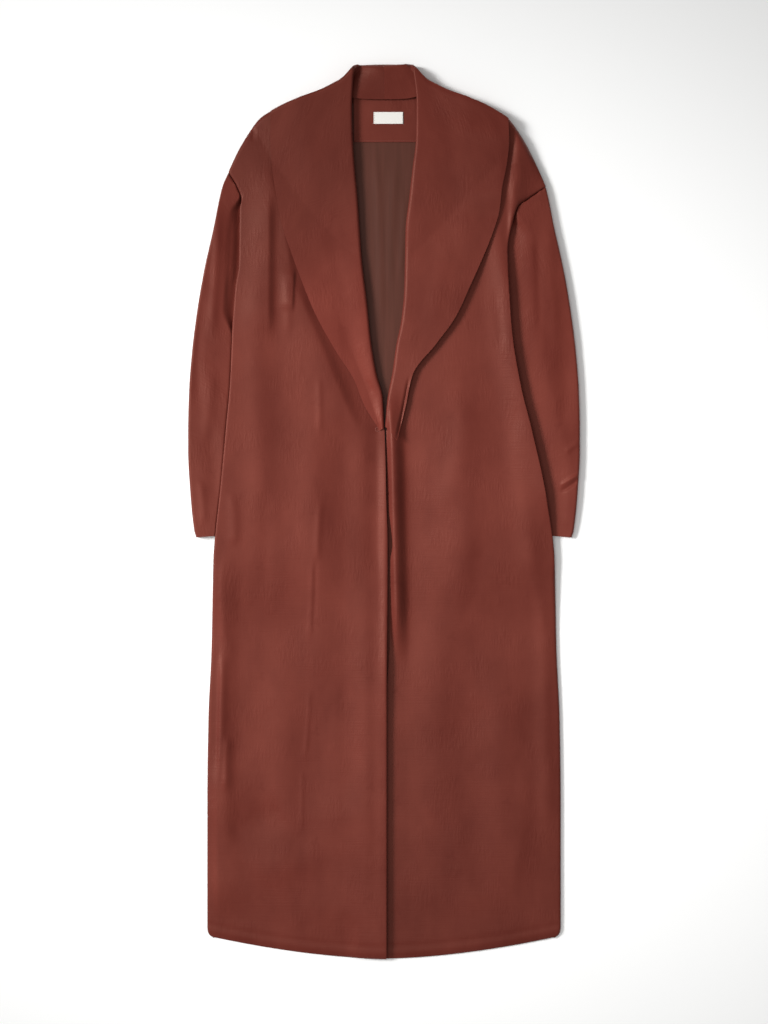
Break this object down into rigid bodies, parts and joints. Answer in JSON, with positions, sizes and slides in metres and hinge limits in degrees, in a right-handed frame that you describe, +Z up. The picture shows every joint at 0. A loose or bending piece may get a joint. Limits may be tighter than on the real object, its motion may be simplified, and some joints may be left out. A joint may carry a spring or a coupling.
{
  "type": "long shawl-collared coat",
  "caption": "Long satin coat with a wide shawl collar and dropped sleeves, laid flat on its back with the sleeves tucked under its sides.",
  "frame": {"origin": "middle of the coat's plan, on the surface that it lies on", "axes": "+X across the coat to its right as seen from above, +Y up its length to the collar, +Z up from the surface"},
  "size_m": [0.57, 1.2998, 0.0284],
  "materials": {
    "back": "russet satin with a faint woven pattern, soft vertical sheen",
    "back_lining": "dark brown smooth lining",
    "neck_patch": "russet satin",
    "label": "cream woven label, blank",
    "front_left": "russet satin with a faint woven pattern, soft vertical sheen",
    "front_right": "russet satin with a faint woven pattern, soft vertical sheen",
    "collar_left": "russet satin, faced",
    "collar_right": "russet satin, faced",
    "sleeve_left": "russet satin with a faint woven pattern, soft sheen",
    "sleeve_right": "russet satin with a faint woven pattern, soft sheen"
  },
  "bodies": {
    "root": {"back": "back", "back_lining": "back_lining", "neck_patch": "neck_patch", "label": "label", "front_left": "front_left", "front_right": "front_right", "collar_left": "collar_left", "collar_right": "collar_right", "sleeve_left": "sleeve_left", "sleeve_right": "sleeve_right"}
  },
  "joints": []
}
